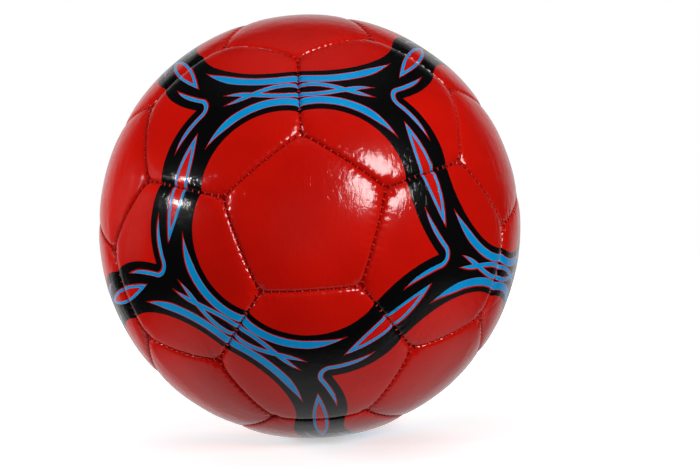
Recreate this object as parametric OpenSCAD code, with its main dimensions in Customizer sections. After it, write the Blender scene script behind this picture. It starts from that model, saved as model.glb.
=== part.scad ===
// Machine-stitched sports ball: twelve five-sided and twenty six-sided cover panels with turned-in
// edges, foam and cloth under each panel, stitched seams, an air bladder and its needle valve.
// Origin at the ball's centre, +Z up, the valve on +Y and a plain five-sided panel on -Y.

/* [Ball] */
// Outside diameter of the pumped ball
ball_d = 220; // [180:1:240]

/* [Cover panels] */
// Thickness of the glossy cover sheet
cover_t = 1.4; // [1.4:0.1:2]
// Width of the stitched groove between two panels
groove_w = 2.4; // [2:0.1:3.2]
// Depth of the stitched groove
groove_depth = 1.2; // [0.8:0.1:1.3]
// How far a turned-in panel edge reaches below the outside
turned_depth = 5.2; // [4.5:0.1:6]
// Thickness of one turned-in panel edge
turned_t = 2.3; // [1.8:0.1:2.6]
// Gap between two turned-in edges
seam_gap = 0.2; // [0.1:0.05:0.3]

/* [Backing] */
// Thickness of the foam under each panel
foam_t = 2.2; // [1.5:0.1:3]
// Thickness of the cloth lining under the foam
lining_t = 0.9; // [0.5:0.1:1.2]
// Glue gap between two layers
glue_gap = 0.05; // [0.02:0.01:0.1]

/* [Stitches] */
// Stitches along one seam
stitches_per_seam = 13; // [7:2:15]
// Bare length at each end of a seam
corner_margin = 2; // [1.5:0.1:3]
// Thickness of the thread
thread_d = 0.8; // [0.5:0.1:0.9]

/* [Bladder and valve] */
// Wall of the rubber bladder
bladder_t = 0.8; // [0.6:0.1:1.5]
// Thickness of the stiffener inside the bladder round the valve
patch_t = 1; // [0.6:0.1:1.5]
// Diameter of the valve's visible head
valve_head_d = 6.6; // [5.4:0.1:8]
// How deep the valve's head sits in the cover
valve_recess = 0.4; // [0.2:0.1:0.6]
// Diameter of the valve's stem inside the bladder
valve_stem_d = 11; // [10:0.5:14]
// Depth of the valve's foot below the cover
valve_length = 24; // [22:1:30]
// Diameter of the flange that is bonded to the bladder
valve_flange_d = 26; // [20:1:34]
// Thickness of that flange
valve_flange_t = 0.6; // [0.5:0.1:1]
// Diameter of the self-closing insert
insert_d = 5; // [4:0.1:5]
// Diameter of the pump needle's channel
needle_d = 2; // [1.8:0.1:2.2]
// Length of the pump needle's channel
needle_channel = 10; // [8:1:12]
// Width of the slit that closes behind the needle
slit_w = 0.3; // [0.2:0.05:0.4]

/* [Hidden] */
$fa = 3;
$fs = 0.4;

ball_r = ball_d / 2;
groove_floor_r = ball_r - groove_depth;
foam_r = ball_r - cover_t - glue_gap;
lining_r = foam_r - foam_t - glue_gap;
lined_r = lining_r - lining_t;
bladder_r = min(lined_r - valve_flange_t - glue_gap, ball_r - turned_depth) - glue_gap;
backing_inset = seam_gap / 2 + turned_t + glue_gap;
// Floor of the pocket that holds the insert in the valve
pocket_r = ball_r - valve_length * 4 / 5;

// Every corner of the panels lies on the ball: its distance from the centre, in panel side lengths
corner_distance = sqrt(58 + 18 * sqrt(5)) / 4;

// Angle at the ball's centre between a panel's middle and the middle of its side
function side_angle(sides) =
    let (corner = 1 / (2 * sin(180 / sides)), middle = corner * cos(180 / sides))
    atan(middle / sqrt(pow(corner_distance, 2) - pow(corner, 2)));

// Angle at the ball's centre between the two ends of a seam
seam_angle = 2 * asin(1 / (2 * corner_distance));

// Angles between the front panel's middle and the panels of each ring
side_pentagon = atan(2);
front_hexagon = side_angle(5) + side_angle(6);
belt_hexagon = front_hexagon + 2 * side_angle(6);

// A panel: name, sides, angle from the front, angle round the front, turn of its corners
function ring(name, sides, polar, start, turn) =
    [for (k = [0 : 4]) [str(name, "_", k + 1), sides, polar, start + 72 * k, turn]];

PANELS = concat(
    [["front_pentagon", 5, 0, 0, 90]],
    ring("front_hexagon", 6, front_hexagon, 36, 0),
    ring("front_side_pentagon", 5, side_pentagon, 0, -90),
    ring("front_belt_hexagon", 6, belt_hexagon, 36, 0),
    ring("back_belt_hexagon", 6, 180 - belt_hexagon, 0, 0),
    ring("back_side_pentagon", 5, 180 - side_pentagon, 36, 90),
    ring("back_hexagon", 6, 180 - front_hexagon, 0, 0),
    [["valve_pentagon", 5, 180, 0, 90]]
);

valve_panel = PANELS[len(PANELS) - 1];
// The last panel sewn in: its seams are closed by hand
closing_panel = "back_hexagon_1";

function direction(panel) =
    let (polar = panel[2], azimuth = panel[3])
    [sin(polar) * sin(azimuth), -cos(polar), sin(polar) * cos(azimuth)];

// Each pair of panels that share a seam: only neighbours' middles are under 45 degrees apart
SEAMS = [
    for (i = [0 : len(PANELS) - 2], j = [i + 1 : len(PANELS) - 1])
        if (direction(PANELS[i]) * direction(PANELS[j]) > cos(45)) [PANELS[i], PANELS[j]]
];

// Takes a shape drawn round +Z to a panel's place on the ball
module at_panel(panel)
    rotate([90, 0, 0]) rotate([0, 0, -panel[3]]) rotate([-panel[2], 0, 0]) children();

// Takes a shape to a seam: +Z goes out through its middle, +X along it and +Y across it
module at_seam(seam) {
    a = direction(seam[0]);
    b = direction(seam[1]);
    between = acos(a * b);
    from_a = side_angle(seam[0][1]);
    out = (sin(between - from_a) * a + sin(from_a) * b) / sin(between);
    along = cross(a, b) / norm(cross(a, b));
    across = cross(out, along);
    multmatrix([for (i = [0 : 2]) [along[i], across[i], out[i], 0]]) children();
}

module shell(inside_r, outside_r)
    difference() {
        sphere(outside_r);
        sphere(inside_r);
    }

// A panel's pyramid of space from the ball's centre, with its sides moved in from the seams
module panel_space(sides, inset) {
    height = 1.2 * ball_r;
    side = side_angle(sides);
    translate([0, 0, inset / sin(side)])
        cylinder(h = height, r1 = 0, r2 = height * tan(side) / cos(180 / sides), $fn = sides);
}

module panel_layer(panel, inside_r, outside_r, inset)
    at_panel(panel)
        rotate([0, 0, panel[4]])
            intersection() {
                shell(inside_r, outside_r);
                panel_space(panel[1], inset);
            }

// The rim of a panel, turned in to lie against the next panel's rim
module turned_edge(panel)
    at_panel(panel)
        rotate([0, 0, panel[4]])
            intersection() {
                shell(ball_r - turned_depth, groove_floor_r);
                difference() {
                    panel_space(panel[1], seam_gap / 2);
                    panel_space(panel[1], seam_gap / 2 + turned_t);
                }
            }

// A hole through every layer at the valve
module valve_hole(d)
    at_panel(valve_panel) translate([0, 0, ball_r / 2]) cylinder(d = d, h = ball_r);

module cover_panel(panel)
    color(panel[1] == 5 ? "#c31708" : "#1d1c20")
        difference() {
            union() {
                panel_layer(panel, ball_r - cover_t, ball_r, groove_w / 2);
                turned_edge(panel);
            }
            if (panel == valve_panel) valve_hole(valve_head_d + 2 * seam_gap);
        }

module backing(sides, inside_r, outside_r)
    difference() {
        for (panel = PANELS)
            if (panel[1] == sides) panel_layer(panel, inside_r, outside_r, backing_inset);
        if (sides == 5) valve_hole(valve_head_d + 2 * seam_gap);
    }

module foam(sides) color("#e8e2d2") backing(sides, foam_r - foam_t, foam_r);

module lining(sides) color("#d8d8d8") backing(sides, lined_r, lining_r);

// Short bars of thread across the groove, lying on the turned-in edges
module stitched_seam(seam) {
    bar = groove_w - seam_gap;
    margin = corner_margin / ball_r * 180 / PI;
    step = (seam_angle - 2 * margin) / (stitches_per_seam - 1);
    at_seam(seam)
        for (i = [0 : stitches_per_seam - 1])
            rotate([0, margin + i * step - seam_angle / 2, 0])
                translate([0, bar / 2, groove_floor_r + thread_d / 2 + glue_gap / 2])
                    rotate([90, 0, 0]) cylinder(d = thread_d, h = bar);
}

module stitches(by_hand)
    color("#a81510")
        for (seam = SEAMS)
            if ((seam[0][0] == closing_panel || seam[1][0] == closing_panel) == by_hand)
                stitched_seam(seam);

module bladder()
    color("#2b2b2b")
        difference() {
            shell(bladder_r - bladder_t, bladder_r);
            valve_hole(valve_stem_d + seam_gap);
        }

// Stiffener bonded to the inside of the bladder round the valve
module valve_patch() {
    outside_r = bladder_r - bladder_t - glue_gap;
    color("#3a3a3a")
        difference() {
            at_panel(valve_panel)
                intersection() {
                    shell(outside_r - patch_t, outside_r);
                    cylinder(d = valve_flange_d, h = ball_r);
                }
            valve_hole(valve_stem_d + seam_gap);
        }
}

// The slit that opens for the needle and closes behind it
module needle_slit(low, high)
    translate([-needle_d, -slit_w / 2, low]) cube([2 * needle_d, slit_w, high - low]);

// Rubber moulding: head in the cover's hole, flange bonded to the bladder, stem inside the bladder
module valve_body() {
    foot_r = ball_r - valve_length;
    color("#101010")
        at_panel(valve_panel)
            difference() {
                union() {
                    translate([0, 0, foot_r])
                        cylinder(d = valve_head_d, h = valve_length - valve_recess);
                    translate([0, 0, foot_r])
                        cylinder(d = valve_stem_d, h = bladder_r + valve_flange_t / 2 - foot_r);
                    intersection() {
                        shell(bladder_r + glue_gap, bladder_r + glue_gap + valve_flange_t);
                        cylinder(d = valve_flange_d, h = ball_r);
                    }
                }
                translate([0, 0, pocket_r]) cylinder(d = insert_d + glue_gap, h = valve_length);
                needle_slit(foot_r - 1, pocket_r + 1);
            }
}

// Soft insert that seals the needle's channel
module valve_insert() {
    foot_r = pocket_r + glue_gap;
    head_r = ball_r - valve_recess - slit_w;
    mouth_r = head_r - slit_w;
    color("#252525")
        at_panel(valve_panel)
            difference() {
                translate([0, 0, foot_r]) cylinder(d = insert_d, h = head_r - foot_r);
                translate([0, 0, mouth_r - needle_channel])
                    cylinder(d = needle_d, h = needle_channel + 1);
                translate([0, 0, mouth_r]) cylinder(d1 = needle_d, d2 = needle_d + 2, h = 1);
                needle_slit(foot_r - 1, mouth_r - needle_channel + slit_w);
            }
}

for (panel = PANELS)
    cover_panel(panel);
foam(5);  // pentagon_foam
foam(6);  // hexagon_foam
lining(5);  // pentagon_lining
lining(6);  // hexagon_lining
stitches(false);  // machine_stitches
stitches(true);  // closing_stitches
bladder();
valve_patch();
valve_body();
valve_insert();
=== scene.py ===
"""Looks of a machine-stitched ball: sewn cover panels, thread, valve, inner layers and studio.

Lengths are in metres unless a name ends in _mm. The frame's origin is the ball's centre, the
valve points along +Y and a plain five-sided panel along -Y.
"""

import logging
import math
from dataclasses import dataclass, field
from enum import Enum

import bmesh
import bpy
import numpy as np
from mathutils import Matrix, Vector


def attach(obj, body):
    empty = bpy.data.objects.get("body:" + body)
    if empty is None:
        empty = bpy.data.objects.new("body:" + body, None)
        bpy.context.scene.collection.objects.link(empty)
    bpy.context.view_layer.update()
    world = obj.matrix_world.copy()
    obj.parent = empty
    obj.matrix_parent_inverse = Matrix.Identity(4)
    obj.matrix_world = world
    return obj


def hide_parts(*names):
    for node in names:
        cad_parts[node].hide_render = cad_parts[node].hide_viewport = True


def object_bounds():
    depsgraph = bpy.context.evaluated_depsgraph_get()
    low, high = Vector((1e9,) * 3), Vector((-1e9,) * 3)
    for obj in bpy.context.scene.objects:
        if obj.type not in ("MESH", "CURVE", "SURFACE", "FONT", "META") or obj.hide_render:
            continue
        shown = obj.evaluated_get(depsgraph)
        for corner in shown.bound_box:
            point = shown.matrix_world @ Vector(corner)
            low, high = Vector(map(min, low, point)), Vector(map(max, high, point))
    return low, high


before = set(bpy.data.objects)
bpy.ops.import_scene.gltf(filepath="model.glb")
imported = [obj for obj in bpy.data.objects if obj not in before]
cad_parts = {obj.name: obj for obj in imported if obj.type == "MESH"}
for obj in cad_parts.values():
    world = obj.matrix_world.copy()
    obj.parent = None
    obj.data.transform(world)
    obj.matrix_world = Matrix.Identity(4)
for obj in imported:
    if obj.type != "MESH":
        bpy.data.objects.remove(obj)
CAD_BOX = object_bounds()

LOG = logging.getLogger("stitched_ball")
MM = 0.001
TINY = 1e-6
BODY = "root"
VALVE_PANEL = "valve_pentagon"
Socket = bpy.types.NodeSocket
Pair = tuple[float, float]
Triple = tuple[float, float, float]
Colour = Triple
Source = Socket | float | tuple
WHITE = (1.0, 1.0, 1.0, 1.0)
RED: Colour = (0.60, 0.006, 0.002)
DARK_RED: Colour = (0.52, 0.0045, 0.0015)


# Materials


class Nodes:
    """A node tree and short calls that add nodes to it."""

    def __init__(self, tree: bpy.types.NodeTree) -> None:
        """Takes a tree over and empties it."""
        self.tree = tree
        tree.nodes.clear()

    def feed(self, target: Socket, source: Source) -> None:
        """Links an input socket to its source, or sets the socket's own value.

        Args:
            target: The input socket.
            source: An output socket, a number, a vector or a colour.
        """
        if isinstance(source, Socket):
            self.tree.links.new(source, target)
        else:
            target.default_value = source

    def node(self, kind: str, inputs: dict | None = None, **settings: object) -> bpy.types.Node:
        """Adds a node.

        Args:
            kind: The node's type.
            inputs: The source of each input, by the input's name or number.
            settings: The node's properties by name.

        Returns:
            The node.
        """
        made = self.tree.nodes.new(kind)
        for key, value in settings.items():
            setattr(made, key, value)
        for key, source in (inputs or {}).items():
            self.feed(made.inputs[key], source)
        return made

    def math(self, operation: str, *values: Source) -> Socket:
        """One step of arithmetic on sockets or numbers."""
        return self.node("ShaderNodeMath", dict(enumerate(values)), operation=operation).outputs[0]

    def ramp(self, value: Socket, low: float, high: float,
             to_low: Source = 0.0, to_high: Source = 1.0) -> Socket:
        """Maps low..high smoothly to to_low..to_high."""
        inputs = dict(enumerate((value, low, high, to_low, to_high)))
        return self.node("ShaderNodeMapRange", inputs, interpolation_type="SMOOTHSTEP").outputs[0]

    def split(self, vector: Socket) -> bpy.types.NodeOutputs:
        """A vector's X, Y and Z."""
        return self.node("ShaderNodeSeparateXYZ", {0: vector}).outputs


class Wiring(Nodes):
    """A material's nodes round a Principled shader."""

    def __init__(self, name: str) -> None:
        """Starts a material.

        Args:
            name: The material's name.
        """
        self.material = bpy.data.materials.new(name)
        self.material.use_nodes = True
        super().__init__(self.material.node_tree)
        self.shader = self.node("ShaderNodeBsdfPrincipled")
        self.node("ShaderNodeOutputMaterial", {"Surface": self.shader.outputs["BSDF"]})

    def surface(self, **values: Source) -> None:
        """Feeds the Principled shader; an underscore in a name stands for a space."""
        for key, value in values.items():
            self.feed(self.shader.inputs[key.replace("_", " ")], value)

    def mix(self, factor: Source, a: Source, b: Source) -> Socket:
        """Mixes two colours: 0 gives the first and 1 the second."""
        a, b = (c if isinstance(c, Socket) else (*c, 1.0) for c in (a, b))
        return self.node("ShaderNodeMix", {0: factor, 6: a, 7: b}, data_type="RGBA").outputs[2]

    def uv(self, name: str) -> bpy.types.NodeOutputs:
        """The two coordinates of a UV map."""
        return self.split(self.node("ShaderNodeUVMap", uv_map=name).outputs[0])

    def place(self, scale: float, squeeze: Triple = (1.0, 1.0, 1.0)) -> Socket:
        """The piece's own coordinates at scale features per metre; a small squeeze stretches them."""
        own = self.node("ShaderNodeTexCoord").outputs["Object"]
        return self.node("ShaderNodeMapping", {0: own, 3: [scale * s for s in squeeze]}).outputs[0]

    def noise(self, where: Socket, detail: float = 3.0, rough: float = 0.5, warp: float = 0.0) -> Socket:
        """Smooth noise from 0 to 1 with finer layers, each rough times as strong, pulled about by warp."""
        inputs = {"Vector": where, "Scale": 1.0, "Detail": detail, "Roughness": rough, "Distortion": warp}
        return self.node("ShaderNodeTexNoise", inputs).outputs["Fac"]

    def cells(self, where: Socket) -> Socket:
        """Distance from the walls of a pattern of random cells."""
        inputs = {"Vector": where, "Scale": 1.0}
        return self.node("ShaderNodeTexVoronoi", inputs, feature="DISTANCE_TO_EDGE").outputs["Distance"]

    def bump(self, height: Socket, distance: float, under: Socket | None = None) -> Socket:
        """Turns a height from 0 to 1, distance metres tall, into a normal on top of another one."""
        inputs = {"Strength": 1.0, "Distance": distance, "Height": height}
        return self.node("ShaderNodeBump", inputs | ({"Normal": under} if under else {})).outputs[0]


@dataclass(frozen=True)
class GlossSheet:
    """The glossy vinyl sheet of the cover, whatever is printed on it."""

    roughness: float = 0.13
    smudge: float = 0.08
    index: float = 1.4
    haze: float = 0.15
    haze_roughness: float = 0.28
    smudge_rate: float = 45.0
    peel_rate: float = 620.0
    peel_mm: float = 0.008
    wrinkle_rate: float = 230.0
    wrinkle_mm: float = 0.2
    crackle_rate: float = 330.0
    crackle_mm: float = 0.013
    scratch_rate: float = 900.0
    scratch_mm: float = 0.02

    def finish(self, w: Wiring, colour: Socket) -> None:
        """Dresses the shader as vinyl with fine crackle, scratches and smudges.

        Args:
            w: The material.
            colour: The sheet's printed colour.
        """
        smudges = w.noise(w.place(self.smudge_rate), 5.0, 0.6, 0.4)
        spread = self.smudge / 2
        rough = w.ramp(smudges, 0.35, 0.75, self.roughness - spread, self.roughness + spread)
        peel = w.noise(w.place(self.peel_rate), 2.0, 0.5)
        crackle = w.ramp(w.cells(w.place(self.crackle_rate, (1.0, 1.0, 0.45))), 0.0, 0.09)
        scratches = w.noise(w.place(self.scratch_rate, (1.0, 1.0, 0.06)), 2.0, 0.6, 0.3)
        wrinkles = w.noise(w.place(self.wrinkle_rate, (1.0, 1.0, 0.5)), 4.0, 0.6, 0.8)
        relief = w.bump(peel, self.peel_mm * MM)
        relief = w.bump(wrinkles, self.wrinkle_mm * MM, relief)
        relief = w.bump(crackle, self.crackle_mm * MM, relief)
        relief = w.bump(w.ramp(scratches, 0.62, 0.7), self.scratch_mm * MM, relief)
        w.surface(Base_Color=colour, Roughness=rough, IOR=self.index, Normal=relief,
                  Coat_Weight=self.haze, Coat_Roughness=self.haze_roughness, Coat_IOR=self.index)

    def tint(self, w: Wiring) -> Socket:
        """The red dye, a little uneven over the sheet."""
        return w.mix(w.ramp(w.noise(w.place(30.0), 3.0, 0.5), 0.3, 0.7), RED, DARK_RED)


@dataclass(frozen=True)
class RedCover:
    """Plain red vinyl."""

    sheet: GlossSheet = GlossSheet()

    def material(self) -> bpy.types.Material:
        """Builds the material.

        Returns:
            The material.
        """
        w = Wiring("red_vinyl")
        self.sheet.finish(w, self.sheet.tint(w))
        return w.material


@dataclass(frozen=True)
class ThreeArmPrint:
    """A plain three-armed band of arcs and pinstripes, in side lengths of a six-sided panel.

    The panel's UV map holds its middle at (0, 0), one side length per unit, and the arm that
    carries the crossing strands along +U. The print mirrors onto itself across that arm.
    """

    sheet: GlossSheet = GlossSheet()
    black: Colour = (0.002, 0.002, 0.0024)
    blue: Colour = (0.0, 0.31, 0.68)
    deep_blue: Colour = (0.0, 0.26, 0.62)
    edge: float = 0.003
    outline: float = 0.008
    side_reach: float = 1.29
    side_radius: float = 0.88
    cusp_middle: Pair = (0.47, 1.02)
    cusp_radius: float = 1.2
    band_gap: float = 0.106
    band_half: float = 0.039
    band_fade: Pair = (-0.24, 0.2)
    strand_swing: float = 0.062
    strand_cross: float = 0.4
    strand_rate: float = 4.4
    strand_half: float = 0.021
    strand_fade: Pair = (-0.04, 0.34)
    stripe_gap: float = 0.105
    stripe_half: float = 0.018
    stripe_fade: Pair = (0.03, 0.42)
    stripe_end: Pair = (0.12, 0.6)
    leaf_tip: float = 0.33
    leaf_half: float = 0.078
    leaf_rim: float = 0.028

    def material(self) -> bpy.types.Material:
        """Builds the material: black, then the red outlines, then the blue strokes.

        Returns:
            The material.
        """
        w = Wiring("printed_vinyl")
        red_u, red_v, _ = w.uv("red_plate")
        under = Plate(self, w, red_u, w.math("ABSOLUTE", red_v))
        u, v, _ = w.uv("panel")
        over = Plate(self, w, u, w.math("ABSOLUTE", v))
        red = self.sheet.tint(w)
        colour = w.mix(over.ink(over.band()), red, self.black)
        outlined = w.math("MAXIMUM", under.strokes(), under.leaf()[1])
        colour = w.mix(over.ink(outlined, self.outline), colour, red)
        blue = w.mix(w.ramp(w.noise(w.place(60.0), 2.0), 0.3, 0.8), self.blue, self.deep_blue)
        self.sheet.finish(w, w.mix(over.ink(over.strokes()), colour, blue))
        return w.material


@dataclass(frozen=True)
class Plate:
    """One printing plate: how far each point of a panel is inside each shape of the print.

    u runs along the arm with the strands and v away from that arm, never negative.
    """

    art: ThreeArmPrint
    w: Wiring
    u: Socket
    v: Socket

    def disc(self, u: Socket, v: Socket, middle: Pair, radius: float) -> Socket:
        """Distance outside a circle, negative inside it.

        Args:
            u: One coordinate.
            v: The other coordinate.
            middle: The circle's middle.
            radius: Its radius.

        Returns:
            The distance's socket.
        """
        across = self.w.math("SUBTRACT", u, middle[0])
        up = self.w.math("SUBTRACT", v, middle[1])
        square = self.w.math("MULTIPLY", across, across)
        square = self.w.math("ADD", square, self.w.math("MULTIPLY", up, up))
        return self.w.math("SUBTRACT", self.w.math("SQRT", square), radius)

    def fade(self, along: Socket, ends: Pair, half: float) -> Socket:
        """Half a stroke's width, from nothing at the first end to its full size at the second."""
        return self.w.ramp(along, *ends, -3 * self.art.outline, half)

    def ink(self, inside: Socket, grow: float = 0.0) -> Socket:
        """How much ink lies at a point that is some distance inside a shape."""
        return self.w.ramp(inside, -grow - self.art.edge / 2, -grow + self.art.edge / 2)

    def cusp(self) -> Socket:
        """Distance from the pointed red field opposite the strands, negative in it.

        Returns:
            The distance's socket.
        """
        w, middle, radius = self.w, self.art.cusp_middle, self.art.cusp_radius
        tip = middle[0] - math.sqrt(radius ** 2 - middle[1] ** 2)
        arc = w.math("MULTIPLY", self.disc(self.u, self.v, middle, radius), -1.0)
        point = self.disc(self.u, self.v, (tip, 0.0), 0.0)
        lean = (middle[0] - tip) / middle[1]
        beyond = w.math("SUBTRACT", self.u, w.math("ADD", w.math("MULTIPLY", self.v, lean), tip))
        choice = w.math("GREATER_THAN", beyond, 0.0)
        rest = w.math("MULTIPLY", w.math("SUBTRACT", 1.0, choice), arc)
        return w.math("ADD", w.math("MULTIPLY", choice, point), rest)

    def round_field(self) -> Socket:
        """Distance outside the round red field about the corner of the ball."""
        middle = (self.art.side_reach * 0.5, self.art.side_reach * math.sqrt(0.75))
        return self.disc(self.u, self.v, middle, self.art.side_radius)

    def band(self) -> Socket:
        """Distance inside the black band, negative in the red fields."""
        return self.w.math("MINIMUM", self.round_field(), self.cusp())

    def strokes(self) -> Socket:
        """The blue strokes: one along each band, the strands, the stripes and the leaf's rim.

        Returns:
            The socket of the distance inside the nearest of them.
        """
        art, w = self.art, self.w
        arc = w.math("ABSOLUTE", w.math("SUBTRACT", self.round_field(), art.band_gap))
        band = w.math("SUBTRACT", self.fade(self.u, art.band_fade, art.band_half), arc)
        turn = w.math("MULTIPLY", w.math("SUBTRACT", self.u, art.strand_cross), art.strand_rate)
        path = w.math("ABSOLUTE", w.math("MULTIPLY", w.math("SINE", turn), art.strand_swing))
        gap = w.math("ABSOLUTE", w.math("SUBTRACT", self.v, path))
        strand = w.math("SUBTRACT", self.fade(self.u, art.strand_fade, art.strand_half), gap)
        beside = w.math("ABSOLUTE", w.math("SUBTRACT", self.cusp(), art.stripe_gap))
        reach = w.math("SUBTRACT", art.stripe_end[1], self.v)
        stripe = w.math("SUBTRACT", self.fade(reach, art.stripe_fade, art.stripe_half), beside)
        stripe = w.math("MINIMUM", stripe, w.math("SUBTRACT", art.stripe_end[0], self.u))
        leaf, core = self.leaf()
        rim = w.math("MINIMUM", leaf, w.math("MULTIPLY", core, -1.0))
        return w.math("MAXIMUM", w.math("MAXIMUM", band, strand), w.math("MAXIMUM", stripe, rim))

    def leaf(self) -> tuple[Socket, Socket]:
        """The leaf that lies across a plain arm's seam.

        Returns:
            Distances inside the leaf and inside its red middle.
        """
        w, half = self.w, self.art.leaf_half
        seam = math.sqrt(0.75)
        along = w.math("ADD", w.math("MULTIPLY", self.u, -0.5), w.math("MULTIPLY", self.v, seam))
        across = w.math("ADD", w.math("MULTIPLY", self.u, seam), w.math("MULTIPLY", self.v, 0.5))
        radius = ((seam - self.art.leaf_tip) ** 2 + half ** 2) / (2 * half)
        one, other = (self.disc(along, across, (seam, side * (radius - half)), radius) for side in (1, -1))
        inside = w.math("MULTIPLY", w.math("MAXIMUM", one, other), -1.0)
        return inside, w.math("SUBTRACT", inside, self.art.leaf_rim)


@dataclass(frozen=True)
class SewingThread:
    """Waxed polyester thread: two plies twisted together, with stray fibres."""

    colour: Colour = (0.55, 0.014, 0.008)
    groove_shade: Colour = (0.28, 0.005, 0.003)
    twists: float = 5.0

    def material(self) -> bpy.types.Material:
        """Builds the material; the UV map runs along and round the thread.

        Returns:
            The material.
        """
        w = Wiring("sewing_thread")
        along, round_it, _ = w.uv("thread")
        turn = w.math("ADD", w.math("MULTIPLY", along, self.twists), round_it)
        ply = w.math("ABSOLUTE", w.math("SINE", w.math("MULTIPLY", turn, math.tau / 2)))
        fibres = w.noise(w.place(6000.0), 2.0)
        # The colour is painted darker in the groove between the two plies, as painted shade; the fibre
        # noise also darkens it a little at random.
        ply_shade_and_fibres = w.math("MULTIPLY", w.ramp(ply, 0.0, 0.6), w.ramp(fibres, 0.1, 0.7, 0.6, 1.0))
        w.surface(Base_Color=w.mix(ply_shade_and_fibres, self.groove_shade, self.colour),
                  Roughness=w.ramp(fibres, 0.2, 0.8, 0.4, 0.6),
                  Normal=w.bump(ply, 0.08 * MM))
        return w.material


@dataclass(frozen=True)
class FoamRubber:
    """Closed-cell foam under the cover."""

    name: str
    colour: Colour
    cell_mm: float = 0.7

    def material(self) -> bpy.types.Material:
        """Builds the material: small closed cells with a few burst ones, whose open pits are painted darker
        as shade.

        Returns:
            The material.
        """
        w = Wiring(self.name)
        where = w.place(1.0 / (self.cell_mm * MM))
        walls = w.ramp(w.cells(where), 0.0, 0.25)
        burst = w.ramp(w.noise(w.place(400.0), 2.0), 0.55, 0.7)
        shade = tuple(0.62 * c for c in self.colour)
        # Painted shade: inside the burst cells, away from their walls, the colour goes darker.
        w.surface(Base_Color=w.mix(w.math("MULTIPLY", walls, burst), self.colour, shade),
                  Roughness=w.ramp(burst, 0.0, 1.0, 0.75, 0.92), Normal=w.bump(walls, -0.12 * MM))
        return w.material


@dataclass(frozen=True)
class LiningCloth:
    """Plain-woven polyester and cotton cloth glued under the foam."""

    colour: Colour = (0.62, 0.60, 0.55)
    thread_mm: float = 0.5

    def material(self) -> bpy.types.Material:
        """Builds the material: warp and weft as crossed waves over the piece.

        Returns:
            The material.
        """
        w = Wiring("lining_cloth")
        rate = math.tau / (self.thread_mm * MM)
        waves = [w.math("SINE", w.math("MULTIPLY", axis, rate)) for axis in w.split(w.place(1.0))]
        weave = w.math("MULTIPLY", w.math("MULTIPLY", waves[0], waves[1]), 0.5)
        weave = w.math("ADD", weave, w.math("MULTIPLY", waves[2], 0.5))
        slub = w.noise(w.place(300.0, (1.0, 1.0, 0.1)), 3.0)
        shade = tuple(0.7 * c for c in self.colour)
        w.surface(Base_Color=w.mix(w.ramp(slub, 0.3, 0.7), self.colour, shade),
                  Roughness=w.ramp(slub, 0.0, 1.0, 0.8, 0.95), Normal=w.bump(weave, 0.08 * MM))
        return w.material


@dataclass(frozen=True)
class MouldedRubber:
    """Moulded rubber with a fine bloom and flow marks."""

    name: str
    colour: Colour
    roughness: float = 0.5

    def material(self) -> bpy.types.Material:
        """Builds the material.

        Returns:
            The material.
        """
        w = Wiring(self.name)
        bloom = w.noise(w.place(90.0), 5.0, 0.6, 0.5)
        grain = w.noise(w.place(2600.0), 2.0)
        pale = tuple(0.03 + 1.25 * c for c in self.colour)
        w.surface(Base_Color=w.mix(w.ramp(bloom, 0.35, 0.8), self.colour, pale),
                  Roughness=w.ramp(bloom, 0.2, 0.9, self.roughness - 0.1, self.roughness + 0.15),
                  Normal=w.bump(grain, 0.03 * MM))
        return w.material


# The ball's geometry


BALL_REACH = math.sqrt(58 + 18 * math.sqrt(5)) / 4  # the ball's radius in side lengths


def spin(degrees: float, axis: str) -> Matrix:
    """A turn about one axis."""
    return Matrix.Rotation(math.radians(degrees), 3, axis)


class Sides(Enum):
    """The two shapes of cover panel."""

    FIVE = 5
    SIX = 6

    @property
    def corner(self) -> float:
        """Middle to corner, in side lengths."""
        return 0.5 / math.sin(math.pi / self.value)

    @property
    def middle(self) -> float:
        """Middle to a side's middle, in side lengths."""
        return 0.5 / math.tan(math.pi / self.value)

    @property
    def height(self) -> float:
        """Ball's centre to the flat panel, in side lengths, with the corners on the ball."""
        return math.sqrt(BALL_REACH ** 2 - self.corner ** 2)

    @property
    def seam_angle(self) -> float:
        """Angle at the ball's centre from the panel's middle to its seams, in radians."""
        return math.atan(self.middle / self.height)


@dataclass(frozen=True)
class Panel:
    """One cover panel's node and place: its own +Z points outwards and +Y away from the front."""

    node: str
    sides: Sides
    polar: float
    azimuth: float
    turn: float
    arm: float | None = None

    def matrix(self) -> Matrix:
        """Turns the panel's own frame into the ball's."""
        return spin(90, "X") @ spin(-self.azimuth, "Z") @ spin(-self.polar, "X")

    def outward(self) -> Vector:
        """The direction of the panel's middle."""
        return self.matrix() @ Vector((0, 0, 1))


@dataclass(frozen=True)
class Ring:
    """Panels of one kind round the axis from the front panel to the valve panel."""

    name: str
    sides: Sides
    polar: float
    first: float
    turn: float
    arms: tuple[float, ...] = ()
    count: int = 5

    def panels(self) -> list[Panel]:
        """The ring's panels in order.

        Returns:
            One panel for each place in the ring.
        """
        made = []
        for i in range(self.count):
            node = self.name if self.count == 1 else f"{self.name}_{i + 1}"
            arm = self.arms[i] if self.arms else None
            made.append(Panel(node, self.sides, self.polar, self.first + 72 * i, self.turn, arm))
        return made


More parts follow.
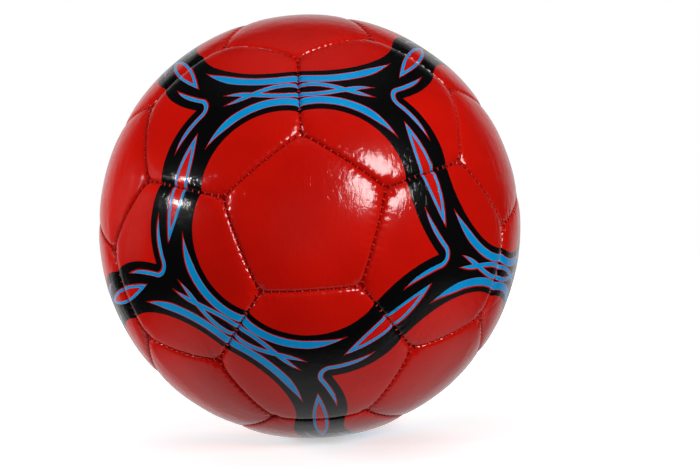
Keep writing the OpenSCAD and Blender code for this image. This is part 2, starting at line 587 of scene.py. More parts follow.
def cover_rings() -> tuple[Ring, ...]:
    """The eight rings, from the front panel to the valve panel.

    Returns:
        The rings in order.
    """
    five = math.degrees(Sides.FIVE.seam_angle)
    six = math.degrees(Sides.SIX.seam_angle)
    near = five + six
    side = math.degrees(math.atan(2.0))
    belt = near + 2 * six
    return (
        Ring("front_pentagon", Sides.FIVE, 0.0, 0.0, 90.0, count=1),
        Ring("front_hexagon", Sides.SIX, near, 36.0, 0.0, (210, 90, 330, 210, 330)),
        Ring("front_side_pentagon", Sides.FIVE, side, 0.0, -90.0),
        Ring("front_belt_hexagon", Sides.SIX, belt, 36.0, 0.0, (30, 270, 150, 150, 30)),
        Ring("back_belt_hexagon", Sides.SIX, 180 - belt, 0.0, 0.0, (210, 210, 330, 330, 90)),
        Ring("back_side_pentagon", Sides.FIVE, 180 - side, 36.0, 90.0),
        Ring("back_hexagon", Sides.SIX, 180 - near, 0.0, 0.0, (30, 150, 30, 150, 270)),
        Ring(VALVE_PANEL, Sides.FIVE, 180.0, 0.0, 90.0, count=1),
    )


# Cover


def finish_piece(obj: bpy.types.Object, node: str) -> None:
    """Attaches a new piece to the body, hides the CAD node it stands for and reports it.

    Args:
        obj: The piece.
        node: The CAD node it stands for.
    """
    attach(obj, BODY)
    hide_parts(node)
    LOG.info("%s: %d faces, stands for %s", obj.name, len(obj.data.polygons), node)


def add_object(name: str, mesh: bpy.types.Mesh, material: bpy.types.Material) -> bpy.types.Object:
    """Puts a mesh in the scene with one material and smooth shading.

    Args:
        name: The object's name.
        mesh: Its mesh, in place.
        material: Its finish.

    Returns:
        The object.
    """
    obj = bpy.data.objects.new(name, mesh)
    bpy.context.scene.collection.objects.link(obj)
    mesh.materials.append(material)
    mesh.polygons.foreach_set("use_smooth", np.ones(len(mesh.polygons), bool))
    return obj


def settle(bm: bmesh.types.BMesh, level: object = None) -> None:
    """Sorts points and faces, because the operators leave them in another order each run.

    Args:
        bm: The bmesh, sorted in place.
        level: A layer of numbers that tells apart points at the same place.
    """
    points = sorted(bm.verts, key=lambda v: (v[level] if level else 0, *v.co))
    for i, v in enumerate(points):
        v.index = i
    bm.verts.sort()
    faces = sorted(bm.faces, key=lambda f: sorted(v.index for v in f.verts))
    for i, f in enumerate(faces):
        f.index = i
    bm.faces.sort()


def as_mesh(bm: bmesh.types.BMesh, name: str) -> bpy.types.Mesh:
    """Makes a mesh of a bmesh and frees the bmesh.

    Args:
        bm: The bmesh.
        name: The mesh's name.

    Returns:
        The mesh.
    """
    mesh = bpy.data.meshes.new(name)
    bm.to_mesh(mesh)
    bm.free()
    return mesh


@dataclass
class Template:
    """A flat panel with its turned-in edge and back, before it is bent to the ball.

    flat is each vertex's place on the panel. level is 0 on the outside and counts up round the
    turned edge to the back, and down through the valve's hole.
    """

    mesh: bpy.types.Mesh
    flat: np.ndarray
    level: np.ndarray


@dataclass
class SewnCover:
    """Thirty-two padded panels, each turned in at its edges and sewn to its neighbours."""

    radius_mm: float = 110.0
    cuts: int = 77
    crowding: float = 1.45
    gap_mm: float = 0.06
    rim_mm: float = 1.9
    rim_depth_mm: float = 1.3
    oval_mm: float = 0.5
    pillow_mm: float = 0.8
    pillow_reach_mm: float = 3.6
    pucker_mm: float = 0.42
    pucker_range: Pair = (0.6, 1.35)
    pucker_width_mm: float = 0.9
    pucker_reach_mm: float = 1.5
    pull_mm: float = 0.06
    pull_width_mm: float = 1.5
    pull_reach_mm: float = 4.5
    corner_dip_mm: float = 0.55
    corner_reach_mm: float = 3.2
    stitches: int = 13
    seam_margin_mm: float = 2.0
    creases_a_seam: int = 7
    crease_mm: float = 0.05
    crease_range: Pair = (0.3, 1.0)
    crease_place_mm: float = 20.0
    crease_width_mm: Pair = (0.35, 0.7)
    crease_reach_mm: Pair = (2.0, 6.0)
    lump_mm: float = 0.0225
    lumps_a_wave: int = 5
    lump_waves_mm: tuple[float, ...] = (46.0, 31.0, 22.0, 15.0, 11.0, 8.0)
    folds_a_corner: int = 2
    fold_mm: float = 0.12
    fold_width_mm: Pair = (0.7, 1.2)
    fold_reach_mm: Pair = (6.0, 12.0)
    marked_panel: str = "front_hexagon_2"
    mark_place_mm: Triple = (-21.0, -35.0, 102.0)
    mark_radius_mm: float = 1.3
    mark_edge_mm: float = 0.12
    mark_mm: float = 0.12
    plate_slip: float = 0.0045
    seed: int = 32
    turned_edge: tuple[Pair, ...] = (
        (0.06, 105.7), (0.1, 105.3), (0.3, 104.95), (0.6, 104.8), (2.1, 104.8), (2.4, 105.1),
        (2.4, 106.8), (2.4, 108.3), (2.7, 108.6), (9.0, 108.62), (17.0, 108.62), (26.0, 108.62))
    valve_hole_mm: float = 3.5
    round_to_mm: float = 5.0
    round_over_mm: float = 8.0
    valve_lip: tuple[Pair, ...] = ((0.12, 0.25), (0.0, 0.6), (0.0, 1.25))
    templates: dict[tuple[Sides, bool], Template] = field(default_factory=dict)

    def seam_length(self) -> float:
        """A seam's length along the ball, in millimetres."""
        return 2 * self.radius_mm * math.asin(0.5 / BALL_REACH)

    def stitch_places(self) -> np.ndarray:
        """Each stitch's place along a seam, from its middle, in millimetres."""
        half = self.seam_length() / 2 - self.seam_margin_mm
        return np.linspace(-half, half, self.stitches)

    def template(self, sides: Sides, holed: bool) -> Template:
        """The template of one kind of panel, made the first time it is asked for.

        Args:
            sides: The panel's shape.
            holed: True leaves a hole for the valve.

        Returns:
            The template.
        """
        key = (sides, holed)
        if key in self.templates:
            return self.templates[key]
        bm = bmesh.new()
        level = bm.verts.layers.int.new("level")
        bmesh.ops.create_circle(bm, cap_ends=True, cap_tris=True, segments=sides.value, radius=sides.corner)
        bmesh.ops.subdivide_edges(bm, edges=bm.edges[:], cuts=self.cuts, use_grid_fill=True)
        lip: list = []
        if holed:
            lip = self.open_hole(bm, sides, level)
        rim = [e for e in bm.edges if e.is_boundary and e not in set(lip)]
        for step in range(1, len(self.turned_edge) + 1):
            rim = self.extrude_loop(bm, rim, level, step)
        if holed:
            bmesh.ops.bridge_loops(bm, edges=rim + lip)
        else:
            rim = self.extrude_loop(bm, rim, level, len(self.turned_edge) + 1)
            ends = list({v for e in rim for v in e.verts})
            bmesh.ops.pointmerge(bm, verts=ends, merge_co=(0, 0, 0))
        bmesh.ops.recalc_face_normals(bm, faces=bm.faces[:])
        settle(bm, level)
        flat = np.array([v.co.xy for v in bm.verts])
        levels = np.array([v[level] for v in bm.verts])
        self.templates[key] = Template(as_mesh(bm, f"panel_{sides.value}"), flat, levels)
        return self.templates[key]

    def extrude_loop(self, bm: bmesh.types.BMesh, loop: list, level: object, step: int) -> list:
        """Extrudes a loop of edges in place.

        Args:
            bm: The panel.
            loop: The loop's edges.
            level: The layer that holds each vertex's level.
            step: The new vertices' level.

        Returns:
            The new loop's edges.
        """
        grown = bmesh.ops.extrude_edge_only(bm, edges=loop)["geom"]
        for v in grown:
            if isinstance(v, bmesh.types.BMVert):
                v[level] = step
        return [e for e in grown if isinstance(e, bmesh.types.BMEdge) and e.is_boundary]

    def open_hole(self, bm: bmesh.types.BMesh, sides: Sides, level: object) -> list:
        """Cuts the valve's hole and turns its lip down.

        Args:
            bm: The flat panel.
            sides: Its shape.
            level: The layer that holds each vertex's level.

        Returns:
            The edges of the lip's last loop.
        """
        before = {e for e in bm.edges if e.is_boundary}
        hole = self.hole_ring(sides)
        inside = [v for v in bm.verts if self.ring(np.array([v.co.xy]), sides, 90.0)[0] < hole]
        bmesh.ops.delete(bm, geom=inside, context="VERTS")
        loop = [e for e in bm.edges if e.is_boundary and e not in before]
        for step in range(len(self.valve_lip)):
            loop = self.extrude_loop(bm, loop, level, -1 - step)
        return loop

    def hole_ring(self, sides: Sides) -> float:
        """The share of the way out, in rings of the template, where the valve's hole is cut.

        Args:
            sides: The panel's shape.

        Returns:
            The share, half way between two rings.
        """
        rings = self.cuts + 1
        span = self.radius_mm * sides.seam_angle
        share = 1 - (1 - self.valve_hole_mm / span) ** (1 / self.crowding)
        return (math.floor(share * rings) + 0.5) / rings

    def ring(self, flat: np.ndarray, sides: Sides, turn: float) -> np.ndarray:
        """How far out each point lies: 0 at the middle, 1 at the panel's sides."""
        return (flat @ self.normals(sides, turn)[:, :2].T).max(1) / sides.middle

    def normals(self, sides: Sides, turn: float) -> np.ndarray:
        """Outward directions of the sides in the panel's own plane, one row each."""
        angles = np.radians(turn + (np.arange(sides.value) + 0.5) * 360 / sides.value)
        return np.stack([np.cos(angles), np.sin(angles), 0 * angles], 1)

    def directions(self, rim: np.ndarray, angle: np.ndarray, sides: Sides) -> np.ndarray:
        """Unit directions from the ball's centre.

        Args:
            rim: The points on the panel's sides that these lie inwards from.
            angle: Angle from the panel's middle, measured towards a side's middle.
            sides: The panel's shape.

        Returns:
            One direction each, in the panel's own frame.
        """
        share = np.tan(angle) / math.tan(sides.seam_angle)
        points = np.column_stack([rim * share[:, None], np.full(len(rim), sides.height)])
        return points / np.linalg.norm(points, axis=1)[:, None]

    def inset(self, ring: np.ndarray, sides: Sides) -> np.ndarray:
        """Spaces the rings, close together where the edge rounds over and wider in the middle.

        Args:
            ring: How far out each point lies, from 0 to 1.
            sides: The panel's shape.

        Returns:
            Each point's distance from the seam along the ball, in millimetres.
        """
        quarter = (self.rim_mm + self.rim_depth_mm) * math.pi / 4
        span = quarter + self.radius_mm * sides.seam_angle - self.gap_mm - self.rim_mm
        along = span * (1 - np.clip(ring, 0, 1)) ** self.crowding
        bent = np.minimum(along / quarter, 1) * math.pi / 2
        return self.gap_mm + self.rim_mm * (1 - np.cos(bent)) + np.maximum(along - quarter, 0)

    def bend(self, panel: Panel, made: Template) -> np.ndarray:
        """Bends a template to the ball.

        Args:
            panel: Which panel it becomes.
            made: The template.

        Returns:
            Every vertex's place in millimetres, in the panel's own frame.
        """
        sides = panel.sides
        facing = math.radians(panel.turn - 90)
        cosine, sine = math.cos(facing), math.sin(facing)
        flat = made.flat @ np.array([[cosine, sine], [-sine, cosine]])
        ring = self.ring(flat, sides, panel.turn)
        safe = np.maximum(ring, TINY)[:, None]
        rim = np.where(ring[:, None] > TINY, flat / safe, np.array([[sides.middle, 0.0]]))
        angle = sides.seam_angle - self.inset(ring, sides) / self.radius_mm
        angle[ring < TINY] = 0
        if panel.node == VALVE_PANEL:
            rim = self.round_off(rim, angle * self.radius_mm, sides)
        direction = self.directions(rim, angle, sides)
        radius = self.radius_mm - self.relief(panel, direction)
        self.turn_in(made.level, rim, sides, direction, radius)
        self.turn_down(made.level, direction, radius)
        return direction * radius[:, None]

    def turn_in(self, level: np.ndarray, rim: np.ndarray, sides: Sides,
                direction: np.ndarray, radius: np.ndarray) -> None:
        """Places the turned-in edge and the back.

        Args:
            level: Each vertex's level.
            rim: The points on the panel's sides.
            sides: The panel's shape.
            direction: Each vertex's direction, changed in place.
            radius: Its distance from the ball's centre, changed in place.
        """
        for step, (inset, height) in enumerate(self.turned_edge, 1):
            here = level == step
            angle = np.full(here.sum(), sides.seam_angle - inset / height)
            direction[here] = self.directions(rim[here], angle, sides)
            radius[here] = height
        back = level > len(self.turned_edge)
        direction[back] = (0, 0, 1)
        radius[back] = self.turned_edge[-1][1]

    def turn_down(self, level: np.ndarray, direction: np.ndarray, radius: np.ndarray) -> None:
        """Places the lip of the valve's hole.

        Args:
            level: Each vertex's level.
            direction: Each vertex's direction, changed in place.
            radius: Its distance from the ball's centre, changed in place.
        """
        for step, (grown, depth) in enumerate(self.valve_lip):
            here = level == -1 - step
            wide = (self.valve_hole_mm - grown) / self.radius_mm
            way = direction[here][:, :2]
            way = way / np.linalg.norm(way, axis=1)[:, None] * math.sin(wide)
            direction[here] = np.column_stack([way, np.full(here.sum(), math.cos(wide))])
            radius[here] -= depth

    def round_off(self, rim: np.ndarray, inward_mm: np.ndarray, sides: Sides) -> np.ndarray:
        """Makes the rings round near the middle, so that the valve's hole is round.

        Args:
            rim: The points on the panel's sides.
            inward_mm: Each vertex's distance from the middle.
            sides: The panel's shape.

        Returns:
            The points, moved to a circle near the middle.
        """
        share = np.clip((inward_mm - self.round_to_mm) / self.round_over_mm, 0, 1)[:, None]
        circle = rim / np.linalg.norm(rim, axis=1)[:, None] * sides.middle
        return circle * (1 - share) + rim * share

    def relief(self, panel: Panel, direction: np.ndarray) -> np.ndarray:
        """The outside's relief: rounded edges, puckers, folds and low lumps.

        Args:
            panel: The panel.
            direction: Each point's direction, in the panel's own frame.

        Returns:
            How far each point lies below the full radius, in millimetres.
        """
        sides = panel.sides
        rng = np.random.default_rng([self.seed, sum(panel.node.encode())])
        normals = self.normals(sides, panel.turn)
        sine, cosine = math.sin(sides.seam_angle), math.cos(sides.seam_angle)
        away = [self.radius_mm * (direction @ (-cosine * n + (0, 0, sine))) for n in normals]
        closeness = [np.clip(1 - (t - self.gap_mm) / self.rim_mm, 0, 1) for t in away]
        closeness = np.minimum(np.sqrt(sum(c * c for c in closeness)), 1)
        depth = self.rim_depth_mm * (1 - np.sqrt(1 - closeness ** 2))
        for n, t in zip(normals, away):
            t = np.maximum(t, 0)
            place = self.radius_mm * np.arcsin(np.clip(direction @ (-n[1], n[0], 0.0), -1, 1))
            depth += self.pillow_mm * np.exp(-t / self.pillow_reach_mm)
            depth += self.seam_dents(place, t, rng)
        corners = np.radians(panel.turn + np.arange(sides.value) * 360 / sides.value)
        for a in corners:
            corner = np.array([sides.corner * math.cos(a), sides.corner * math.sin(a), sides.height])
            corner /= np.linalg.norm(corner)
            off = self.radius_mm * np.linalg.norm(direction - corner, axis=1)
            depth += self.corner_dip_mm * np.exp(-(off / self.corner_reach_mm) ** 2)
            depth += self.folds(off, direction - corner, rng)
        turned = direction @ np.array(panel.matrix()).T
        depth += self.lumps(turned)
        depth += self.oval_mm * (turned[:, 0] ** 2 - np.maximum(turned[:, 2], 0) ** 2)
        if panel.node == self.marked_panel:
            depth += self.press_mark(direction)
        return depth

    def folds(self, off: np.ndarray, step: np.ndarray, rng: np.random.Generator) -> np.ndarray:
        """Two longer folds that run from a corner into the panel, where three panels pull together.

        Args:
            off: Each point's distance from the corner, in millimetres.
            step: Its direction less the corner's.
            rng: The panel's own random numbers.

        Returns:
            Depth in millimetres.
        """
        total = np.zeros(len(off))
        inward = -step.mean(0)[:2]
        for _ in range(self.folds_a_corner):
            angle = math.atan2(-inward[1], -inward[0]) + rng.normal(0, 0.45)
            across = (math.cos(angle) * step[:, 1] - math.sin(angle) * step[:, 0]) * self.radius_mm
            ahead = (math.cos(angle) * step[:, 0] + math.sin(angle) * step[:, 1]) * self.radius_mm
            shape = np.exp(-(across / rng.uniform(*self.fold_width_mm)) ** 2) * (ahead > 0)
            total += self.fold_mm * shape * np.exp(-off / rng.uniform(*self.fold_reach_mm))
        return total

    def press_mark(self, direction: np.ndarray) -> np.ndarray:
        """A small round mark pressed into the sheet near a corner.

        Args:
            direction: Each point's direction, in the panel's own frame.

        Returns:
            Depth in millimetres.
        """
        middle = np.array(self.mark_place_mm)
        middle = middle / np.linalg.norm(middle)
        off = self.radius_mm * np.linalg.norm(direction - middle, axis=1)
        return self.mark_mm / (1 + np.exp((off - self.mark_radius_mm) / self.mark_edge_mm))

    def seam_dents(self, place: np.ndarray, inset: np.ndarray, rng: np.random.Generator) -> np.ndarray:
        """Puckers where each stitch pulls the edge down, uneven as hand-fed sewing is, and fine folds.

        Args:
            place: Each point's place along the seam, in millimetres.
            inset: Its distance from the seam.
            rng: The panel's own random numbers.

        Returns:
            Depth in millimetres.
        """
        dents = np.zeros(len(place))
        for x in self.stitch_places():
            pucker = self.pucker_mm * rng.uniform(*self.pucker_range)
            off = place - x - rng.normal(0, 0.08)
            pull = self.pull_mm * rng.normal(0.6, 0.6)
            dents += pucker * np.exp(-(off / self.pucker_width_mm) ** 2 - inset / self.pucker_reach_mm)
            dents += pull * np.exp(-(off / self.pull_width_mm) ** 2 - inset / self.pull_reach_mm)
        for _ in range(self.creases_a_seam):
            x = rng.uniform(-self.crease_place_mm, self.crease_place_mm)
            lean = rng.normal(0, 0.35)
            reach = rng.uniform(*self.crease_reach_mm)
            off = (place - x - lean * inset) / rng.uniform(*self.crease_width_mm)
            dents += self.crease_mm * rng.uniform(*self.crease_range) * np.exp(-off ** 2 - inset / reach)
        return dents

    def lumps(self, direction: np.ndarray) -> np.ndarray:
        """Low soft unevenness over the whole ball, the same on both sides of a seam.

        Args:
            direction: Each point's direction, in the ball's frame.

        Returns:
            Depth in millimetres.
        """
        rng = np.random.default_rng(self.seed)
        total = np.zeros(len(direction))
        for wave_mm in self.lump_waves_mm:
            for _ in range(self.lumps_a_wave):
                way = rng.normal(size=3)
                way /= np.linalg.norm(way)
                phase = rng.uniform(0, math.tau)
                height = self.lump_mm * wave_mm / self.lump_waves_mm[0]
                turns = direction @ way * self.radius_mm / wave_mm
                total += height * np.cos(turns * math.tau + phase)
        return total

    def build(self, plain: bpy.types.Material, printed: bpy.types.Material) -> None:
        """Makes every panel as its own piece.

        Args:
            plain: The plain red finish, on panels of five sides.
            printed: The printed finish, on panels of six sides.
        """
        slips = np.random.default_rng(self.seed + 1)
        for ring in cover_rings():
            for panel in ring.panels():
                slip = slips.normal(0, self.plate_slip, 2)
                self.build_panel(panel, plain if panel.arm is None else printed, slip)

    def build_panel(self, panel: Panel, material: bpy.types.Material, slip: np.ndarray) -> None:
        """Bends one panel, maps its print and attaches it to the body in place of its CAD node.

        Args:
            panel: The panel.
            material: Its finish.
            slip: How far the red plate was off when the panel was printed, in side lengths.
        """
        made = self.template(panel.sides, panel.node == VALVE_PANEL)
        mesh = made.mesh.copy()
        local = self.bend(panel, made)
        placed = local @ np.array(panel.matrix()).T * MM
        mesh.vertices.foreach_set("co", placed.astype(np.float32).ravel())
        arm = math.radians(panel.arm or 0.0)
        plane = local[:, :2] / local[:, 2:] * panel.sides.height
        along = np.array([math.cos(arm), math.sin(arm)])
        across = np.array([-math.sin(arm), math.cos(arm)])
        drawn = np.column_stack([plane @ along, plane @ across])
        corners = np.zeros(len(mesh.loops), np.int32)
        mesh.loops.foreach_get("vertex_index", corners)
        for name, shift in (("panel", np.zeros(2)), ("red_plate", slip)):
            layer = mesh.uv_layers.new(name=name)
            layer.data.foreach_set("uv", (drawn + shift)[corners].astype(np.float32).ravel())
        mesh.update()
        mesh.validate()
        obj = add_object(f"sewn_{panel.node}", mesh, material)
        finish_piece(obj, panel.node)


# Thread


@dataclass
class Seams:
    """The thread that shows across every seam, from the machine and from the hand-closed panel."""

    cover: SewnCover
    closing_panel: str = "back_hexagon_1"
    thread_mm: float = 0.66
    reach_mm: float = 1.1
    depth_mm: float = 1.32
    dip_mm: float = 0.6
    sink_mm: float = 0.15
    twist: float = 0.09
    stretch: Pair = (0.93, 1.05)
    slack: float = 0.02
    round_faces: int = 6
    lengths: int = 6
    seed: int = 90

    def bar(self) -> bpy.types.Mesh:
        """One stitch: a short thread that rises in the middle and dips into both edges.

        Returns:
            Its mesh in millimetres, across the seam along X.
        """
        bm = bmesh.new()
        uv = bm.loops.layers.uv.new("thread")
        half = self.thread_mm / 2
        bmesh.ops.create_circle(bm, cap_ends=True, segments=self.round_faces, radius=half)
        bmesh.ops.rotate(bm, verts=bm.verts[:], cent=(0, 0, 0), matrix=spin(90, "Y"))
        bmesh.ops.translate(bm, verts=bm.verts[:], vec=(-self.reach_mm, 0, 0))
        step = 2 * self.reach_mm / self.lengths
        last = bm.faces[:]
        for i in range(self.lengths):
            grown = bmesh.ops.extrude_face_region(bm, geom=last)["geom"]
            moved = [v for v in grown if isinstance(v, bmesh.types.BMVert)]
            bmesh.ops.translate(bm, verts=moved, vec=(step, 0, 0))
            if i > 0 and last[0].is_valid:
                bmesh.ops.delete(bm, geom=last, context="FACES_ONLY")
            last = [f for f in grown if isinstance(f, bmesh.types.BMFace)]
        bmesh.ops.recalc_face_normals(bm, faces=bm.faces[:])
        for face in bm.faces:
            for loop in face.loops:
                x, y, z = loop.vert.co
                loop[uv].uv = ((x + self.reach_mm) / (2 * self.reach_mm), math.atan2(y, z) / math.tau + 0.5)
        for v in bm.verts:
            share = (v.co.x / self.reach_mm) ** 2
            v.co.z -= self.dip_mm * share
        settle(bm)
        return as_mesh(bm, "stitch")

    def stitch_frames(self, by_hand: bool) -> list[Matrix]:
        """Where every stitch of one kind goes.

        Args:
            by_hand: True for the seams closed by hand.

        Returns:
            One placing each, with X across the seam and Z outwards, in millimetres.
        """
        panels = [p for ring in cover_rings() for p in ring.panels()]
        rng = np.random.default_rng(self.seed + by_hand)
        made = []
        for i, a in enumerate(panels):
            for b in panels[i + 1:]:
                if a.outward().angle(b.outward()) > a.sides.seam_angle + b.sides.seam_angle + self.slack:
                    continue
                if (self.closing_panel in (a.node, b.node)) != by_hand:
                    continue
                made += self.along_seam(a, b, rng)
        return made

    def along_seam(self, a: Panel, b: Panel, rng: np.random.Generator) -> list[Matrix]:
        """The stitches of the seam between two panels.

        Args:
            a: One panel.
            b: Its neighbour.
            rng: Random numbers for small differences.

        Returns:
            One placing for each stitch.
        """
        one, other = a.outward(), b.outward()
        middle = one * math.sin(b.sides.seam_angle) + other * math.sin(a.sides.seam_angle)
        middle.normalize()
        along = one.cross(other).normalized()
        made = []
        for x in self.cover.stitch_places():
            turn = x / self.cover.radius_mm
            out = middle * math.cos(turn) + along * math.sin(turn)
            ahead = along * math.cos(turn) - middle * math.sin(turn)
            across = ahead.cross(out)
            place = Matrix((across, ahead, out)).transposed().to_4x4()
            place.translation = out * (self.cover.radius_mm - self.depth_mm - rng.uniform(0, self.sink_mm))
            twist = Matrix.Rotation(rng.normal(0, self.twist), 4, "Z")
            made.append(place @ twist @ Matrix.Diagonal((rng.uniform(*self.stretch), 1, 1, 1)))
        return made

    def build(self, material: bpy.types.Material) -> None:
        """Makes the machine-sewn and the hand-closed thread, one piece each.

        Args:
            material: The thread's finish.
        """
        bar = self.bar()
        scale = Matrix.Scale(MM, 4)
        for name, node, by_hand in (("machine_thread", "machine_stitches", False),
                                    ("closing_thread", "closing_stitches", True)):
            bm = bmesh.new()
            for place in self.stitch_frames(by_hand):
                copy = bar.copy()
                copy.transform(scale @ place)
                bm.from_mesh(copy)
                bpy.data.meshes.remove(copy)
            finish_piece(add_object(name, as_mesh(bm, name), material), node)


# Valve and inner layers


@dataclass
class Valve:
    """The moulded valve seat and the soft plug that a needle goes through, turned on a lathe about +Y."""

    steps: int = 64
    corner_steps: int = 3
    seat: tuple[Triple, ...] = (
        (2.55, 90.9, 0.0), (2.55, 108.95, 0.25), (2.75, 109.45, 0.12), (3.15, 109.45, 0.14),
        (3.3, 109.0, 0.0), (3.3, 106.6, 0.3), (3.42, 105.55, 0.0), (12.6, 105.35, 0.12),
        (13.0, 105.05, 0.12), (12.6, 104.75, 0.1), (6.3, 104.72, 0.5), (5.5, 103.7, 0.3),
        (5.5, 88.0, 0.8), (4.4, 86.05, 0.4), (0.0, 86.0, 0.0))
    pocket: tuple[Triple, ...] = ((0.0, 90.8, 0.0), (2.5, 90.8, 0.3))
    plug: tuple[Triple, ...] = (
        (0.0, 98.95, 0.0), (0.98, 99.05, 0.1), (0.98, 108.5, 0.2), (1.5, 109.05, 0.12), (2.3, 109.05, 0.2),
        (2.48, 108.7, 0.0), (2.48, 91.1, 0.2), (2.2, 90.86, 0.0), (0.0, 90.86, 0.0))

    def lathe(self, name: str, profile: list[Triple]) -> bpy.types.Mesh:
        """Turns a profile about +Y.

        Args:
            name: The mesh's name.
            profile: Distance from the axis, height and corner radius of each point, in millimetres.

        Returns:
            The closed mesh.
        """
        bm = bmesh.new()
        verts = [bm.verts.new((r * MM, y * MM, 0)) for r, y, _ in profile]
        for a, b in zip(verts, verts[1:]):
            bm.edges.new((a, b))
        for vert, (_, _, corner) in zip(verts, profile):
            if corner:
                bmesh.ops.bevel(bm, geom=[vert], affect="VERTICES", offset=corner * MM,
                                segments=self.corner_steps, profile=0.5, material=-1)
        bmesh.ops.spin(bm, geom=bm.verts[:] + bm.edges[:], cent=(0, 0, 0), axis=(0, 1, 0),
                       dvec=(0, 0, 0), angle=math.tau, steps=self.steps, use_merge=True)
        bmesh.ops.remove_doubles(bm, verts=bm.verts[:], dist=TINY)
        bmesh.ops.recalc_face_normals(bm, faces=bm.faces[:])
        settle(bm)
        return as_mesh(bm, name)

    def build(self, seat: bpy.types.Material, plug: bpy.types.Material) -> None:
        """Makes the seat and the plug, one piece each.

        Args:
            seat: The seat's finish.
            plug: The plug's finish.
        """
        seat_mesh = self.lathe("valve_seat", [*self.pocket, *self.seat])
        finish_piece(add_object("valve_seat", seat_mesh, seat), "valve_body")
        plug_mesh = self.lathe("valve_plug", list(self.plug))
        finish_piece(add_object("valve_plug", plug_mesh, plug), "valve_insert")


@dataclass
class InnerLayers:
    """The CAD nodes inside the cover, which keep their shape and get their finishes here."""

    foam_fill: float = 0.9

    def build(self) -> None:
        """Dresses each node."""
        white_foam = FoamRubber("white_foam", (0.72, 0.71, 0.66)).material()
        cloth = LiningCloth().material()
        bladder = MouldedRubber("butyl_rubber", (0.018, 0.018, 0.02), 0.42).material()
        patch = MouldedRubber("patch_rubber", (0.03, 0.03, 0.032), 0.6).material()
        finishes = {
            "pentagon_foam": white_foam, "hexagon_foam": white_foam, "pentagon_lining": cloth,
            "hexagon_lining": cloth, "bladder": bladder, "valve_patch": patch,
        }
        for node, material in finishes.items():
            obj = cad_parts[node]
            obj.data.materials.clear()
            obj.data.materials.append(material)
            LOG.info("%s: dressed as %s", node, material.name)


# Studio


@dataclass(frozen=True)
class Lamp:
    """One soft light, aimed at the ball's centre."""

    name: str
    azimuth: float
    elevation: float
    distance: float
    size: float
    power: float
    reflected: bool = True

    def place(self) -> None:
        """Adds the light; azimuth 0 is at the camera's side and grows to its right."""
        data = bpy.data.lights.new(self.name, "AREA")
        data.shape = "DISK"
        data.size = self.size
        data.energy = self.power
        obj = bpy.data.objects.new(self.name, data)
        a, e = math.radians(self.azimuth), math.radians(self.elevation)
        way = Vector((math.sin(a) * math.cos(e), -math.cos(a) * math.cos(e), math.sin(e)))
        obj.location = way * self.distance
        obj.rotation_mode = "QUATERNION"
        obj.rotation_quaternion = way.to_track_quat("Z", "Y")
        obj.visible_glossy = self.reflected
        bpy.context.scene.collection.objects.link(obj)


@dataclass(frozen=True)
class Wall:
    """A pale side of the room, bright where every one of its fades is.

    Each fade is an axis and the two components of a direction along it between which the
    light comes up from nothing to its full strength.
    """

    strength: float
    fades: tuple[tuple[int, float, float], ...]


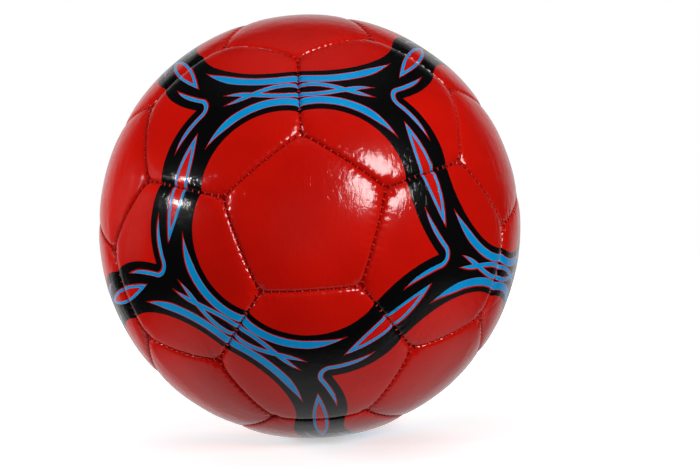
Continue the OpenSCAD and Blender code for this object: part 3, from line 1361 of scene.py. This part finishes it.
@dataclass
class Studio:
    """A pale floor, a white room, soft lamps and the camera."""

    floor_size: float = 8.0
    floor_colour: Colour = (0.86, 0.86, 0.86)
    eye: Triple = (0.01108, -0.54375, -0.01825)
    yaw: float = 0.975
    pitch: float = 1.429
    roll: float = -3.555
    lens: float = 52.72
    dark: float = 0.012
    walls: tuple[Wall, ...] = (
        Wall(0.62, ((1, 0.6, 0.92),)),
        Wall(0.42, ((2, -0.3, -0.7), (1, -0.45, 0.05))),
        Wall(0.1, ((2, 0.75, 0.98),)),
    )
    # Painted light: between these distances from the ball's centre the floor's glow rises from the first to
    # the second strength of floor_glow.
    floor_fade: Pair = (0.15, 1.1)
    floor_glow: Pair = (0.5, 1.0)
    lamps: tuple[Lamp, ...] = (
        Lamp("key", 35.5, 17.0, 1.3, 0.5, 13.0),
        Lamp("left_card", -68.0, 15.0, 1.5, 0.12, 4.0),
        Lamp("left_fill", -105.0, 8.0, 1.6, 0.8, 30.0, False),
        Lamp("overhead", 10.0, 75.0, 1.6, 1.2, 4.0, False),
        Lamp("front_fill", 0.0, 0.0, 2.0, 1.2, 3.2, False),
        Lamp("floor_bounce", 0.0, -75.0, 1.6, 1.2, 4.0, False),
        Lamp("back_fill", 150.0, 30.0, 2.0, 1.2, 14.0, False),
    )

    def floor(self) -> None:
        """A wide floor that the ball stands on; it glows as painted light, weaker round the ball."""
        bm = bmesh.new()
        bmesh.ops.create_grid(bm, x_segments=8, y_segments=8, size=self.floor_size / 2)
        bmesh.ops.translate(bm, verts=bm.verts[:], vec=(0, 0, CAD_BOX[0].z))
        w = Wiring("pale_floor")
        dust = w.noise(w.place(3.0), 3.0)
        shade = tuple(0.97 * c for c in self.floor_colour)
        # The glow is painted light: less near the ball, so the floor is darker there, and full white far
        # off.
        reach = w.node("ShaderNodeVectorMath", {0: w.place(1.0)}, operation="LENGTH").outputs["Value"]
        w.surface(Base_Color=w.mix(dust, self.floor_colour, shade), Roughness=0.6,
                  Emission_Color=WHITE,
                  Emission_Strength=w.ramp(reach, *self.floor_fade, *self.floor_glow))
        obj = add_object("floor", as_mesh(bm, "floor"), w.material)
        obj.visible_glossy = False
        obj.visible_diffuse = False
        obj.visible_shadow = False

    def room(self) -> None:
        """The light from all round: white to the eye; on the ball, a pale back wall and table."""
        world = bpy.data.worlds.new("white_room")
        world.use_nodes = True
        n = Nodes(world.node_tree)
        way = n.split(n.node("ShaderNodeTexCoord").outputs["Generated"])
        total = self.dark
        for wall in self.walls:
            light = wall.strength
            for axis, start, end in wall.fades:
                light = n.ramp(way[axis], start, end, 0.0, light)
            total = n.math("MAXIMUM", total, light)
        cast = n.node("ShaderNodeBackground", {"Color": WHITE, "Strength": total}).outputs[0]
        seen = n.node("ShaderNodeBackground", {"Color": WHITE, "Strength": 1.0}).outputs[0]
        eye = n.node("ShaderNodeLightPath").outputs["Is Camera Ray"]
        pick = n.node("ShaderNodeMixShader", {0: eye, 1: cast, 2: seen})
        n.node("ShaderNodeOutputWorld", {"Surface": pick.outputs[0]})
        bpy.context.scene.world = world

    def camera(self) -> None:
        """The camera a short way in front of the ball, a little below its middle."""
        data = bpy.data.cameras.new("camera")
        data.lens = self.lens
        data.sensor_width = 36.0
        data.clip_start = 0.01
        data.clip_end = 50.0
        obj = bpy.data.objects.new("camera", data)
        turn = spin(-self.yaw, "Z") @ spin(90 + self.pitch, "X") @ spin(self.roll, "Z")
        obj.matrix_world = Matrix.Translation(self.eye) @ turn.to_4x4()
        bpy.context.scene.collection.objects.link(obj)
        bpy.context.scene.camera = obj

    def build(self) -> None:
        """Sets up the whole studio."""
        self.floor()
        self.room()
        for lamp in self.lamps:
            lamp.place()
        self.camera()
        bpy.context.scene.view_settings.view_transform = "Standard"


def main() -> None:
    """Builds the ball from the cover to the valve, then the studio."""
    logging.basicConfig(level=logging.INFO, format="%(name)s: %(message)s")
    cover = SewnCover()
    cover.build(RedCover().material(), ThreeArmPrint().material())
    Seams(cover).build(SewingThread().material())
    seat = MouldedRubber("valve_seat_rubber", (0.022, 0.022, 0.024), 0.45).material()
    plug = MouldedRubber("valve_plug_rubber", (0.06, 0.06, 0.062), 0.55).material()
    Valve().build(seat, plug)
    InnerLayers().build()
    Studio().build()


if __name__ == "__main__":
    main()
